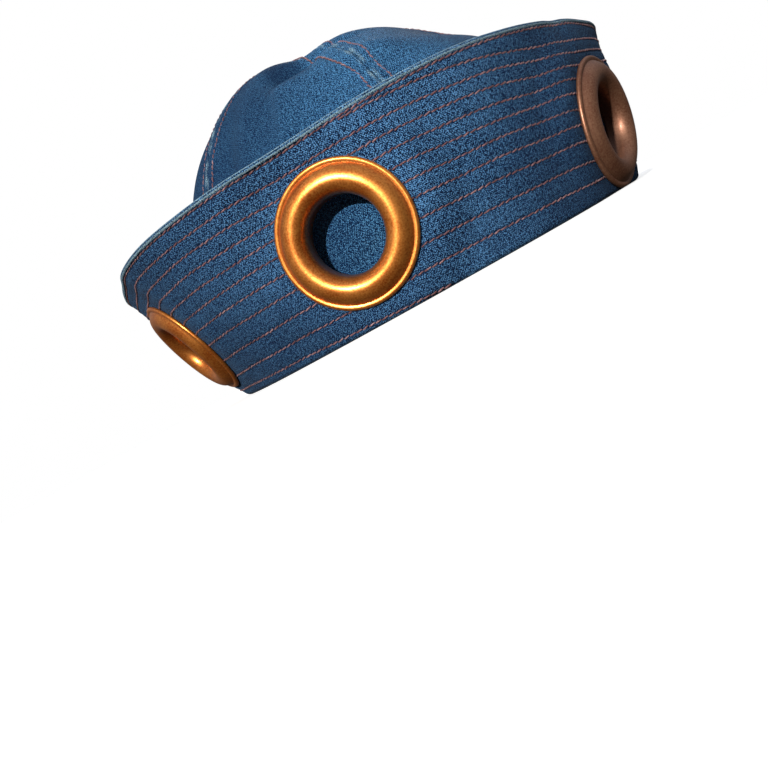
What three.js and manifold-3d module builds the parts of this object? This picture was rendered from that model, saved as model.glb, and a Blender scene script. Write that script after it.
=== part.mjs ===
// Sailor hat of blue denim: a deep turned-up cuff with six large metal eyelets round a soft
// six-gore crown. Millimetres, +Z up, +X to the front, the hat standing on the fold of its cuff.
import * as THREE from 'three';
import { mergeVertices } from 'three/addons/utils/BufferGeometryUtils.js';
import Module from 'manifold-3d';

// Driving dimensions

const gap = 0.3; // between neighbouring pieces

const cuff = {
  halfLengthBelow: 103, // outside of the fold, front to back
  halfWidthBelow: 97,
  halfLengthAbove: 125, // outside of the hem
  halfWidthAbove: 104,
  leanBack: 10.3, // how far the hem's middle lies behind the fold's
  height: 67.6,
  frontLower: 0.013, // share of the height that the front loses and the back gains
  leftLower: 0.037, // the same from side to side: the right side stands higher
  squareBelow: 0.008, // how far the cloth lies flat at the eyelets, as a share of the radius
  squareAbove: 0.021,
  segments: 60,
};

const cloth = {
  outerLayer: 1.4, // denim with the rows of stitching through it
  facingLayer: 1.3,
  crownWall: 1.6,
  crownInset: 6.2, // outside of the cuff to outside of the crown, at the fold
  footWidth: 8.6, // the fold under the facing, turned in as far as the crown
  hemRoll: 2, // depth of the facing's edge that rolls over the outer layer
};

// One row for each eyelet: its angle round the hat, its height as a share of the cuff's,
// and how far it turns about its own upright and level lines, in degrees.
const eyeletRows = [
  { angle: -99.3, rise: 0.472, swing: -5.6, nod: 3.9 },
  { angle: -33.3, rise: 0.382, swing: 0.2, nod: -3.9 },
  { angle: 25.0, rise: 0.45, swing: 0, nod: 0 },
  { angle: 83.2, rise: 0.46, swing: 0, nod: 0 },
  { angle: 141.5, rise: 0.46, swing: 0, nod: 0 },
  { angle: -160.2, rise: 0.456, swing: 3.5, nod: 2.3 },
];

const eyelet = {
  outerRadius: 26.1,
  holeRadius: 14,
  tubeRadius: 15, // outside of the throat that passes through the cloth
  domeRadius: 18.6, // where the raised ring is highest
  domeHeight: 5,
  lipHeight: 1.5,
  backRadius: 22.5,
  backThickness: 1.5,
  flatRadius: 30, // the cloth is clamped flat this far out
  fadeRadius: 43, // and follows the cuff's own curve from here
  sides: 20,
};

// One row for each section of the crown, from the fold to the top: its height, its half length
// and half width, how far it slumps back, and how far its front drops for each 100 mm forward.
const crownRows = [
  {
    up: cloth.outerLayer + gap,
    halfLength: cuff.halfLengthBelow - cloth.crownInset,
    halfWidth: cuff.halfWidthBelow - cloth.crownInset,
    back: 0,
    drop: 0,
  },
  { up: 20, halfLength: 94.6, halfWidth: 88.2, back: 0.0, drop: 0.0 },
  { up: 42, halfLength: 94.2, halfWidth: 87.2, back: 0.1, drop: 0.5 },
  { up: 60, halfLength: 92.2, halfWidth: 86.0, back: 0.7, drop: 2.4 },
  { up: 76, halfLength: 85.8, halfWidth: 80.3, back: 1.5, drop: 4.0 },
  { up: 92, halfLength: 74.2, halfWidth: 69.4, back: 2.6, drop: 5.6 },
  { up: 106, halfLength: 58.8, halfWidth: 55.0, back: 3.8, drop: 7.0 },
  { up: 117, halfLength: 40.6, halfWidth: 38.0, back: 5.0, drop: 8.1 },
  { up: 123.6, halfLength: 21.0, halfWidth: 19.6, back: 5.7, drop: 8.8 },
  { up: 126, halfLength: 1.4, halfWidth: 1.4, back: 6.0, drop: 9.0 },
];

const crown = {
  gores: 6,
  firstSeam: -139, // degrees round the hat
  puff: 1.4, // how far a gore swells between its seams
  across: 7, // facets of a gore from seam to seam
  along: 11, // and from the fold to the top
};

// One row for each dent of the crown: its place by angle and by share of the way up the
// sections, its reach round the hat and up it in millimetres, its slant and its depth.
const dentRows = [
  { angle: -85, way: 0.84, round: 12, up: 23, slant: 0, depth: 4.7 },
  { angle: -96, way: 0.75, round: 9, up: 7, slant: 10, depth: 5.6 },
  { angle: -78, way: 0.71, round: 16, up: 4, slant: -6, depth: 2 },
  { angle: -112, way: 0.55, round: 6, up: 26, slant: -6, depth: 2.6 },
  { angle: -128, way: 0.52, round: 7, up: 24, slant: 4, depth: 3 },
  { angle: -38, way: 0.62, round: 22, up: 14, slant: 0, depth: 3 },
  { angle: 48, way: 0.66, round: 24, up: 9, slant: -12, depth: 3.4 },
  { angle: 112, way: 0.58, round: 9, up: 24, slant: 8, depth: 2.8 },
  { angle: 172, way: 0.68, round: 22, up: 8, slant: 10, depth: 3.2 },
];

const copper = { color: 0xb5652a, roughness: 0.38, metalness: 0.9 };
const denim = { color: 0x2b5080, roughness: 0.92, metalness: 0 };

// Shared geometry

const radians = THREE.MathUtils.degToRad;
const wasm = await Module();
wasm.setup();

function smoothStep(low, high, value) {
  return THREE.MathUtils.smoothstep(value, low, high);
}

// The same geometry with its faces pointing out: its signed volume shows which way they point.
function facingOut(geometry) {
  const { position } = geometry.attributes;
  const index = Array.from(geometry.index.array);
  const corner = (place) => new THREE.Vector3().fromBufferAttribute(position, index[place]);
  let volume = 0;
  for (let i = 0; i < index.length; i += 3) volume += corner(i).dot(corner(i + 1).cross(corner(i + 2)));
  if (volume < 0) index.reverse();
  return geometry.setIndex(index);
}

function closedMesh(points, triangles) {
  const geometry = new THREE.BufferGeometry().setFromPoints(points);
  return facingOut(geometry.setIndex(triangles.flat()));
}

// A ring whose section is carried round the hat: pointAt(step, place) gives each corner. Faces
// that rise and faces that fall are split along the same diagonal, so that nested walls match.
function ringOfSections(steps, places, pointAt) {
  const points = [];
  const triangles = [];
  for (let step = 0; step < steps; step++) {
    for (let place = 0; place < places; place++) points.push(pointAt(step, place));
  }
  for (let step = 0; step < steps; step++) {
    const here = step * places;
    const next = ((step + 1) % steps) * places;
    for (let place = 0; place < places; place++) {
      const side = (place + 1) % places;
      const [a, b, c, d] = [here + place, next + place, next + side, here + side];
      const rises = points[d].z > points[a].z;
      triangles.push(...(rises ? [[a, b, c], [a, c, d]] : [[a, b, d], [b, c, d]]));
    }
  }
  return closedMesh(points, triangles);
}

// A curved panel between an outer and an inner skin, closed along its four edges.
function panel(across, along, outerAt, innerAt) {
  const points = [];
  const triangles = [];
  const width = across + 1;
  const skin = width * (along + 1);
  for (const skinAt of [outerAt, innerAt]) {
    for (let j = 0; j <= along; j++) {
      for (let i = 0; i <= across; i++) points.push(skinAt(i / across, j / along));
    }
  }
  const quad = (a, b, c, d) => triangles.push([a, b, c], [a, c, d]);
  const at = (i, j) => j * width + i;
  for (let j = 0; j < along; j++) {
    for (let i = 0; i < across; i++) {
      quad(at(i, j), at(i + 1, j), at(i + 1, j + 1), at(i, j + 1));
      quad(skin + at(i, j), skin + at(i, j + 1), skin + at(i + 1, j + 1), skin + at(i + 1, j));
    }
    quad(at(0, j), at(0, j + 1), skin + at(0, j + 1), skin + at(0, j));
    quad(at(across, j + 1), at(across, j), skin + at(across, j), skin + at(across, j + 1));
  }
  for (let i = 0; i < across; i++) {
    quad(at(i + 1, 0), at(i, 0), skin + at(i, 0), skin + at(i + 1, 0));
    quad(at(i, along), at(i + 1, along), skin + at(i + 1, along), skin + at(i, along));
  }
  return closedMesh(points, triangles);
}

function toManifold(geometry, matrix) {
  let bare = geometry.clone();
  bare.deleteAttribute('normal');
  bare.deleteAttribute('uv');
  bare = mergeVertices(bare, 1e-4);
  if (matrix) bare.applyMatrix4(matrix);
  const vertProperties = Float32Array.from(bare.attributes.position.array);
  const triVerts = Uint32Array.from(bare.index.array);
  return new wasm.Manifold(new wasm.Mesh({ numProp: 3, vertProperties, triVerts }));
}

function fromManifold(solid) {
  const mesh = solid.getMesh();
  const geometry = new THREE.BufferGeometry();
  geometry.setAttribute('position', new THREE.Float32BufferAttribute(mesh.vertProperties, 3));
  geometry.setIndex(Array.from(mesh.triVerts));
  return geometry;
}

// A profile of [radius, height] pairs turned about an eyelet's own axis, which is its local Z.
function turned(profile) {
  const outline = profile.map(([radius, height]) => new THREE.Vector2(radius, height));
  return facingOut(new THREE.LatheGeometry(outline, eyelet.sides).rotateX(Math.PI / 2));
}

// The cuff

function cuffHeight(angle) {
  return cuff.height * (1 - cuff.frontLower * Math.cos(angle) - cuff.leftLower * Math.sin(angle));
}

// The cuff's outer surface before the eyelets flatten it: an oval that widens as it rises,
// drawn in a little at each visible eyelet and let out between them.
function openCuff(angle, share) {
  const square = cuff.squareBelow + (cuff.squareAbove - cuff.squareBelow) * share;
  const radius = 1 - square * Math.cos(6 * (angle - radians(eyeletRows[0].angle)));
  const halfLength = THREE.MathUtils.lerp(cuff.halfLengthBelow, cuff.halfLengthAbove, share);
  const halfWidth = THREE.MathUtils.lerp(cuff.halfWidthBelow, cuff.halfWidthAbove, share);
  return new THREE.Vector3(
    halfLength * radius * Math.cos(angle) - cuff.leanBack * share,
    halfWidth * radius * Math.sin(angle),
    cuffHeight(angle) * share,
  );
}

// Where an eyelet sits: its centre on the cuff, and its axes round the hat, up it and out of it.
function eyeletSeat(row) {
  const angle = radians(row.angle);
  const step = 1e-4;
  const centre = openCuff(angle, row.rise);
  const round = openCuff(angle + step, row.rise).sub(openCuff(angle - step, row.rise)).normalize();
  const out = openCuff(angle, row.rise + step).sub(openCuff(angle, row.rise - step));
  out.crossVectors(round, out).normalize();
  const up = new THREE.Vector3().crossVectors(out, round);
  const swing = radians(row.swing);
  const turnedOut = out.clone().multiplyScalar(Math.cos(swing)).addScaledVector(round, Math.sin(swing));
  const turnedRound = new THREE.Vector3().crossVectors(up, turnedOut);
  const nod = radians(row.nod);
  const axis = turnedOut.clone().multiplyScalar(Math.cos(nod)).addScaledVector(up, Math.sin(nod));
  const upright = new THREE.Vector3().crossVectors(axis, turnedRound);
  const matrix = new THREE.Matrix4().makeBasis(turnedRound, upright, axis).setPosition(centre);
  return { centre, axis, matrix };
}

const seats = eyeletRows.map(eyeletSeat);

// A point of the cuff's cloth: at an angle and a height, and so far in from the outer surface.
function cuffPoint(angle, height, depth) {
  const share = height / cuffHeight(angle);
  const point = openCuff(angle, share);
  for (const seat of seats) {
    const away = point.clone().sub(seat.centre);
    const off = away.dot(seat.axis);
    const hold = 1 - smoothStep(eyelet.flatRadius, eyelet.fadeRadius, away.length());
    const level = new THREE.Vector3(seat.axis.x, seat.axis.y, 0);
    point.addScaledVector(level, (-hold * off) / level.lengthSq());
  }
  const halfLength = THREE.MathUtils.lerp(cuff.halfLengthBelow, cuff.halfLengthAbove, share);
  const halfWidth = THREE.MathUtils.lerp(cuff.halfWidthBelow, cuff.halfWidthAbove, share);
  const inward = new THREE.Vector3(-halfWidth * Math.cos(angle), -halfLength * Math.sin(angle), 0);
  return point.addScaledVector(inward.normalize(), depth);
}

const clothRows = [14, 28, 42, 56]; // heights of the corners up the cuff's walls
const rollStart = (angle) => cuffHeight(angle) - cloth.hemRoll;

// Corners of the outer layer's section, each with its depth and its height.
function outerSection(angle) {
  const top = rollStart(angle) - gap;
  const inner = cloth.outerLayer;
  return [
    { depth: 0.9, height: 0 },
    { depth: 0, height: 0.9 },
    ...clothRows.map((height) => ({ depth: 0, height })),
    { depth: 0, height: top - 0.5 },
    { depth: inner, height: top },
    ...clothRows.toReversed().map((height) => ({ depth: inner, height })),
    { depth: inner, height: cloth.outerLayer },
    { depth: cloth.footWidth, height: cloth.outerLayer },
    { depth: cloth.footWidth, height: 0 },
  ];
}

// Corners of the facing's section: a wall behind the outer layer, rolled over it at the hem.
function facingSection(angle) {
  const near = cloth.outerLayer + gap;
  const far = near + cloth.facingLayer;
  const foot = cloth.outerLayer + gap;
  const top = cuffHeight(angle);
  return [
    { depth: near, height: foot },
    ...clothRows.map((height) => ({ depth: near, height })),
    { depth: near, height: rollStart(angle) },
    { depth: 0, height: rollStart(angle) },
    { depth: 0, height: top - 0.8 },
    { depth: 0.9, height: top },
    { depth: far, height: top - 0.3 },
    ...clothRows.toReversed().map((height) => ({ depth: far, height })),
    { depth: far, height: foot },
  ];
}

// The room that an eyelet takes: its throat through the cloth, and a flat seat for its back.
function eyeletRoom() {
  const hole = eyelet.tubeRadius + gap;
  const seat = eyelet.backRadius + gap;
  const behind = -(cloth.outerLayer + cloth.facingLayer + gap + gap / 2);
  const beyond = 8; // past both faces of the cloth
  return turned([[0, behind - beyond], [seat, behind - beyond], [seat, behind], [hole, behind], [hole, beyond], [0, beyond]]);
}

function cuffLayer(section) {
  const steps = cuff.segments;
  const places = section(0).length;
  const ring = ringOfSections(steps, places, (step, place) => {
    const angle = (2 * Math.PI * step) / steps;
    const corner = section(angle)[place];
    return cuffPoint(angle, corner.height, corner.depth);
  });
  const room = eyeletRoom();
  let solid = toManifold(ring);
  for (const seat of seats) solid = solid.subtract(toManifold(room, seat.matrix));
  return fromManifold(solid);
}

// The crown

// A value of the crown's sections, so far up from the fold, on a smooth curve through the rows.
function crownValue(column, way) {
  const last = crownRows.length - 1;
  const place = THREE.MathUtils.clamp(way, 0, 1) * last;
  const low = Math.min(Math.floor(place), last - 1);
  const at = (index) => crownRows[THREE.MathUtils.clamp(index, 0, last)][column];
  const part = place - low;
  const before = low > 0 ? at(low - 1) : 2 * at(0) - at(1);
  const after = low + 2 <= last ? at(low + 2) : 2 * at(last) - at(last - 1);
  const rise = (at(low + 1) - before) / 2;
  const fall = (after - at(low)) / 2;
  const square = part * part;
  const cube = square * part;
  return (2 * cube - 3 * square + 1) * at(low) + (cube - 2 * square + part) * rise
    + (3 * square - 2 * cube) * at(low + 1) + (cube - square) * fall;
}

// The crown before its dents: an oval section, swelled between the seams.
function plainCrown(angle, way) {
  const halfLength = crownValue('halfLength', way);
  const halfWidth = crownValue('halfWidth', way);
  const swell = Math.abs(Math.sin((crown.gores / 2) * (angle - radians(crown.firstSeam))));
  const puff = (crown.puff * swell * Math.sin(Math.PI * way)) / Math.max(halfLength, 1);
  const x = halfLength * (1 + puff) * Math.cos(angle) - crownValue('back', way);
  const y = halfWidth * (1 + puff) * Math.sin(angle);
  return new THREE.Vector3(x, y, crownValue('up', way) - (crownValue('drop', way) * x) / 100);
}

function crownOut(angle, way) {
  const step = 1e-3;
  const low = Math.max(way - step, 0);
  const high = Math.min(way + step, 0.999);
  const round = new THREE.Vector3(-Math.sin(angle), Math.cos(angle), 0);
  const up = plainCrown(angle, high).sub(plainCrown(angle, low));
  return round.cross(up).normalize();
}

const dents = dentRows.map((row) => ({
  ...row,
  centre: plainCrown(radians(row.angle), row.way),
  out: crownOut(radians(row.angle), row.way),
}));

// How deep the crown's cloth is pushed in: each dent is a bell that is longer one way.
function dentDepth(point) {
  let depth = 0;
  for (const dent of dents) {
    const angle = radians(dent.angle);
    const level = new THREE.Vector3(-Math.sin(angle), Math.cos(angle), 0);
    const rising = new THREE.Vector3().crossVectors(dent.out, level);
    const away = point.clone().sub(dent.centre);
    const u = away.dot(level);
    const v = away.dot(rising);
    const slant = radians(dent.slant);
    const along = (u * Math.cos(slant) + v * Math.sin(slant)) / dent.round;
    const over = (v * Math.cos(slant) - u * Math.sin(slant)) / dent.up;
    const facing = 1 - smoothStep(30, 60, away.length());
    depth += dent.depth * facing * Math.exp(-(along * along + over * over));
  }
  return depth;
}

function crownPoint(angle, way, depth) {
  const point = plainCrown(angle, way);
  return point.addScaledVector(crownOut(angle, way), -dentDepth(point) - depth);
}

function goreSolid(index) {
  const width = (2 * Math.PI) / crown.gores;
  const start = radians(crown.firstSeam) + index * width;
  const skin = (depth) => (share, way) => {
    const point = crownPoint(start + width * share, way, depth);
    const middle = start + width / 2;
    const side = new THREE.Vector3(-Math.sin(middle), Math.cos(middle), 0);
    const squeeze = (gap / 2 / Math.cos(width / 2)) * (1 - 2 * share);
    return point.addScaledVector(side, squeeze);
  };
  return panel(crown.across, crown.along, skin(0), skin(cloth.crownWall));
}

// The eyelets

function eyeletFront() {
  const { outerRadius, holeRadius, tubeRadius, domeRadius, domeHeight, lipHeight } = eyelet;
  const seatHeight = gap;
  const end = -(cloth.outerLayer + cloth.facingLayer + 2 * gap + eyelet.backThickness + 0.4);
  return turned([
    [holeRadius, end], [holeRadius, 1], [holeRadius + 1.2, domeHeight - 1.4],
    [domeRadius, domeHeight], [domeRadius + 3.2, domeHeight - 1.9], [outerRadius - 2.8, lipHeight - 0.2],
    [outerRadius - 0.6, lipHeight], [outerRadius, seatHeight], [outerRadius - 3.6, seatHeight],
    [domeRadius, domeHeight - 0.9], [tubeRadius, seatHeight + 0.6], [tubeRadius, end], [holeRadius, end],
  ]);
}

function eyeletBack() {
  const inner = eyelet.tubeRadius + gap;
  const near = -(cloth.outerLayer + cloth.facingLayer + 2 * gap);
  const far = near - eyelet.backThickness;
  return turned([[inner, near], [inner, far], [eyelet.backRadius - 2.5, far], [eyelet.backRadius, near], [inner, near]]);
}

// The hat

const hat = new THREE.Group();

function addPiece(name, geometry, finish, matrix) {
  const mesh = new THREE.Mesh(geometry, new THREE.MeshStandardMaterial(finish));
  mesh.name = name;
  if (matrix) matrix.decompose(mesh.position, mesh.quaternion, mesh.scale);
  hat.add(mesh);
}

addPiece('cuff_outer', cuffLayer(outerSection), denim);
addPiece('cuff_facing', cuffLayer(facingSection), { ...denim, color: 0x345c8c });
for (let index = 0; index < crown.gores; index++) {
  addPiece(`crown_gore_${index + 1}`, goreSolid(index), { ...denim, color: 0x31598a });
}
seats.forEach((seat, index) => {
  addPiece(`eyelet_${index + 1}`, eyeletFront(), copper, seat.matrix);
  addPiece(`eyelet_back_${index + 1}`, eyeletBack(), { ...copper, roughness: 0.5 }, seat.matrix);
});

// The origin is the middle of the ground that the hat covers.
hat.updateMatrixWorld(true);
const middle = new THREE.Box3().setFromObject(hat, true).getCenter(new THREE.Vector3());
hat.position.set(-middle.x, -middle.y, 0);
hat.updateMatrixWorld(true);

export default hat;
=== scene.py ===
# Sailor hat of blue denim: a deep turned-up cuff sewn in a spiral of rust thread, six large
# copper eyelets, and a soft crown of six gores. Lengths are millimetres in the hat's own middle
# until a mesh is made, which takes them to the frame's metres.
import bpy
import numpy as np
from mathutils import Matrix


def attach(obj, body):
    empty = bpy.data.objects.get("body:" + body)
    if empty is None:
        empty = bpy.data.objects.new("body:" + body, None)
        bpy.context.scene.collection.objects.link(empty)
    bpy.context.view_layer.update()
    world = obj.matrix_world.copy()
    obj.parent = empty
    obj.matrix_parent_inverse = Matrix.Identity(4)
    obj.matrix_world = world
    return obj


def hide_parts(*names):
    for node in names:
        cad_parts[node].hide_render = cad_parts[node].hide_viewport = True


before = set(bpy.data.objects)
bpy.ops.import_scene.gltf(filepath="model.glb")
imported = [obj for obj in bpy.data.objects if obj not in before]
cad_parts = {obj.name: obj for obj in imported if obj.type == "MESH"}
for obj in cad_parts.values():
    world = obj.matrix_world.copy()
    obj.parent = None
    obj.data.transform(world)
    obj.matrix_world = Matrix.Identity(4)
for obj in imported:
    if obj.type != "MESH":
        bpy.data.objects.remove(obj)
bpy.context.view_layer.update()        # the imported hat, kept as the fixed frame

hatMiddle = np.array([-10.1807, -0.5641, 0.0])  # the frame's origin, from the middle of the fold

# Camera

photoCamera = {
    "place": (-7.245, -325.48, 5.0),  # just above the floor, millimetres in the frame
    "yaw": -4.834, "pitch": -5.85, "roll": -29.263,
    "focalPixels": 646.66, "framePixels": 768,
}


def placeCamera(look):
    # looks along (sin yaw cos pitch, cos yaw cos pitch, sin pitch), then rolls about that line
    yaw, pitch, roll = np.radians([look["yaw"], look["pitch"], look["roll"]])
    ahead = np.array([np.sin(yaw) * np.cos(pitch), np.cos(yaw) * np.cos(pitch), np.sin(pitch)])
    level = np.array([np.cos(yaw), -np.sin(yaw), 0.0])
    above = np.cross(level, ahead)
    right = np.cos(roll) * level + np.sin(roll) * above
    up = np.cos(roll) * above - np.sin(roll) * level
    camera = bpy.data.cameras.new("photoCamera")
    camera.sensor_width = 36
    camera.lens = 36 * look["focalPixels"] / look["framePixels"]
    camera.clip_start = 0.001
    camera.clip_end = 60
    holder = bpy.data.objects.new("photoCamera", camera)
    turn = Matrix([list(row) for row in np.stack([right, up, -ahead], 1)])
    holder.matrix_world = Matrix.Translation(np.array(look["place"]) * 0.001) @ turn.to_4x4()
    bpy.context.collection.objects.link(holder)
    bpy.context.scene.camera = holder


placeCamera(photoCamera)
print("camera in place")

# Shared helpers


def smoothStep(low, high, value):
    # 0 below low, 1 above high, and 3t^2 - 2t^3 between them
    share = np.clip((value - low) / (high - low), 0, 1)
    return share * share * (3 - 2 * share)


def unit(vectors):
    # each vector divided by its length
    return vectors / np.maximum(np.linalg.norm(vectors, axis=-1, keepdims=True), 1e-9)


def bell(value, middle, reach):
    # exp(-((value - middle) / reach)^2)
    return np.exp(-(((value - middle) / reach) ** 2))


def runLength(line):
    # how far along a line of points each of them lies
    return np.concatenate([[0], np.cumsum(np.linalg.norm(np.diff(line, axis=0), axis=-1))])


def curveThrough(corners, place):
    # a smooth curve through a table's rows, place counting the rows passed: between b and c it is
    # 0.5 (2b + (c - a) t + (2a - 5b + 4c - d) t^2 + (3b - a - 3c + d) t^3)
    low = np.minimum(place.astype(int), len(corners) - 2)
    t = (place - low)[..., None]
    first, last = 2 * corners[0] - corners[1], 2 * corners[-1] - corners[-2]
    padded = np.concatenate([[first], corners, [last]])
    a, b, c, d = (padded[low + k] for k in range(4))
    curved, turned = 2 * a - 5 * b + 4 * c - d, 3 * b - a - 3 * c + d
    return 0.5 * (2 * b + (c - a) * t + curved * t**2 + turned * t**3)


def gridFaces(columns, rows, closed=False, flip=False):
    # the four corners of every cell of a grid that is numbered column by column
    across = np.arange(columns if closed else columns - 1)
    c, r = np.meshgrid(across, np.arange(rows - 1), indexing="ij")
    here = c * rows + r
    beside = ((c + 1) % columns) * rows + r
    cell = np.stack([here, beside, beside + 1, here + 1], -1).reshape(-1, 4)
    return cell[:, ::-1] if flip else cell


def makePiece(name, points, faceSets, finish, uvSets=None, marks=None):
    # one mesh object from whole arrays: points in millimetres, faces, UV maps and point values
    mesh = bpy.data.meshes.new(name)
    sizes = np.concatenate([np.full(len(faces), faces.shape[1]) for faces in faceSets])
    corners = np.concatenate([faces.reshape(-1) for faces in faceSets])
    mesh.vertices.add(len(points))
    mesh.vertices.foreach_set("co", ((points - hatMiddle) * 0.001).astype(np.float32).ravel())
    mesh.loops.add(len(corners))
    mesh.loops.foreach_set("vertex_index", corners.astype(np.int32))
    mesh.polygons.add(len(sizes))
    starts = np.concatenate([[0], np.cumsum(sizes)[:-1]])
    mesh.polygons.foreach_set("loop_start", starts.astype(np.int32))
    mesh.update(calc_edges=True)
    for uvName, values in (uvSets or {}).items():
        layer = mesh.uv_layers.new(name=uvName)
        layer.data.foreach_set("uv", values.astype(np.float32).ravel())
    for markName, values in (marks or {}).items():
        layer = mesh.attributes.new(markName, "FLOAT", "POINT")
        layer.data.foreach_set("value", values.astype(np.float32).ravel())
    mesh.polygons.foreach_set("use_smooth", np.ones(len(sizes), dtype=bool))
    mesh.materials.append(finish)
    piece = bpy.data.objects.new(name, mesh)
    bpy.context.collection.objects.link(piece)
    return piece


def giveWall(piece, thickness):
    # cloth has two faces: the wall goes inwards from the surface that was worked out
    wall = piece.modifiers.new("wall", "SOLIDIFY")
    wall.thickness = thickness * 0.001
    wall.offset = -1
    wall.use_even_offset = False


# Materials


class Nodes:
    # one material and short ways to wire its shader nodes

    def __init__(self, name):
        self.material = bpy.data.materials.new(name)
        self.material.use_nodes = True
        self.tree = self.material.node_tree
        self.shader = next(n for n in self.tree.nodes if n.type == "BSDF_PRINCIPLED")

    def add(self, kind, settings=None, **inputs):
        # inputs go by the node's own names, or as i0, i1 and so on by number
        node = self.tree.nodes.new(kind)
        for key, value in (settings or {}).items():
            setattr(node, key, value)
        for key, value in inputs.items():
            numbered = key[0] == "i" and key[1:].isdigit()
            self.feed(node.inputs[int(key[1:]) if numbered else key], value)
        return node

    def feed(self, socket, value):
        if isinstance(value, bpy.types.NodeSocket):
            self.tree.links.new(value, socket)
        else:
            socket.default_value = value

    def math(self, operation, first, second=0.0):
        return self.add("ShaderNodeMath", {"operation": operation}, i0=first, i1=second).outputs[0]

    def plus(self, first, second):
        return self.math("ADD", first, second)

    def minus(self, first, second):
        return self.math("SUBTRACT", first, second)

    def times(self, first, second):
        return self.math("MULTIPLY", first, second)

    def noise(self, place, scale, detail, rough, dimensions="3D"):
        node = self.add("ShaderNodeTexNoise", {"noise_dimensions": dimensions},
                        Vector=place, Scale=scale, Detail=detail, Roughness=rough)
        return node.outputs["Fac"]

    def stretch(self, place, scale):
        return self.add("ShaderNodeMapping", None, Vector=place, Scale=scale).outputs[0]

    def ramp(self, value, stops):
        node = self.add("ShaderNodeValToRGB", None, Fac=value)
        band = node.color_ramp
        while len(band.elements) < len(stops):
            band.elements.new(0.5)
        for element, (place, colour) in zip(band.elements, stops):
            element.position = place
            element.color = (*colour, 1)
        return node.outputs["Color"]

    def between(self, value, low, high, first=0.0, last=1.0):
        # first below low, last above high, and a smooth step between them
        node = self.add("ShaderNodeMapRange", {"interpolation_type": "SMOOTHSTEP"},
                        i0=value, i1=low, i2=high, i3=first, i4=last)
        return node.outputs[0]

    def blend(self, share, first, second):
        # the numbers are the mix node's share and its two colours
        node = self.add("ShaderNodeMix", {"data_type": "RGBA"}, i0=share, i6=first, i7=second)
        return node.outputs[2]

    def bump(self, height, strength, distance):
        node = self.add("ShaderNodeBump", None, Height=height, Strength=strength, Distance=distance)
        self.tree.links.new(node.outputs[0], self.shader.inputs["Normal"])

    def fix(self, constants):
        # plain numbers and tones go on the shader's own sockets
        for key, value in constants.items():
            self.shader.inputs[key].default_value = value

    def uv(self, name):
        return self.add("ShaderNodeUVMap", {"uv_map": name}).outputs[0]

    def mark(self, name):
        return self.add("ShaderNodeAttribute", {"attribute_name": name}).outputs["Fac"]

    def place(self):
        return self.add("ShaderNodeTexCoord").outputs["Object"]


cuffTones = {
    "deep": (0.001, 0.007, 0.028),
    "indigo": (0.003, 0.023, 0.082),
    "blue": (0.007, 0.053, 0.170),
    "pale": (0.105, 0.275, 0.53),
    "worn": (0.28, 0.44, 0.54),
    "stops": (0.458, 0.492, 0.525, 0.590),
    "paintedShadeMix": 0.52,  # how far painted shade takes the cloth towards the deepest blue where there is no painted light
    "twillPitch": 1.1, "dotPitch": 0.80, "speckle": 2.5,
}
crownTones = {
    "deep": (0.001, 0.012, 0.044),
    "indigo": (0.004, 0.036, 0.118),
    "blue": (0.010, 0.076, 0.215),
    "pale": (0.095, 0.29, 0.54),
    "worn": (0.28, 0.44, 0.54),
    "stops": (0.450, 0.484, 0.522, 0.595),
    "paintedShadeMix": 0.68,
    "twillPitch": 1.3, "dotPitch": 0.80, "speckle": 2.5,
}

# how much each pattern adds to the tone of both denims, and to their relief
weave = {
    "slub": 0.36, "slubScale": 0.4,  # the specks count as 1, and these are coarser
    "warp": 0.17, "filling": 0.08, "slow": 0.12,
    "twill": 0.035, "dots": 0.13, "dotSlant": 0.33,
    "paintedShadeLevel": 0.391, "paintedLightLevel": 0.381,  # taken off before the ramp, a little more where there is no painted light, for painted shade
    "twillRelief": 0.22, "speckRelief": 0.9, "dotRelief": 0.3, "rowRelief": 1.2,
    "rubContrast": 2.2, "rubLevel": 0.35,  # worn edges show on the raised specks first
    # how deep the painted shade is in the sewn channels, and in the crown's deep fold
    "rowPaintedShade": 0.75, "pocketShadeDark": 0.70,
    "topRowNarrow": 1.7,
}


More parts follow.
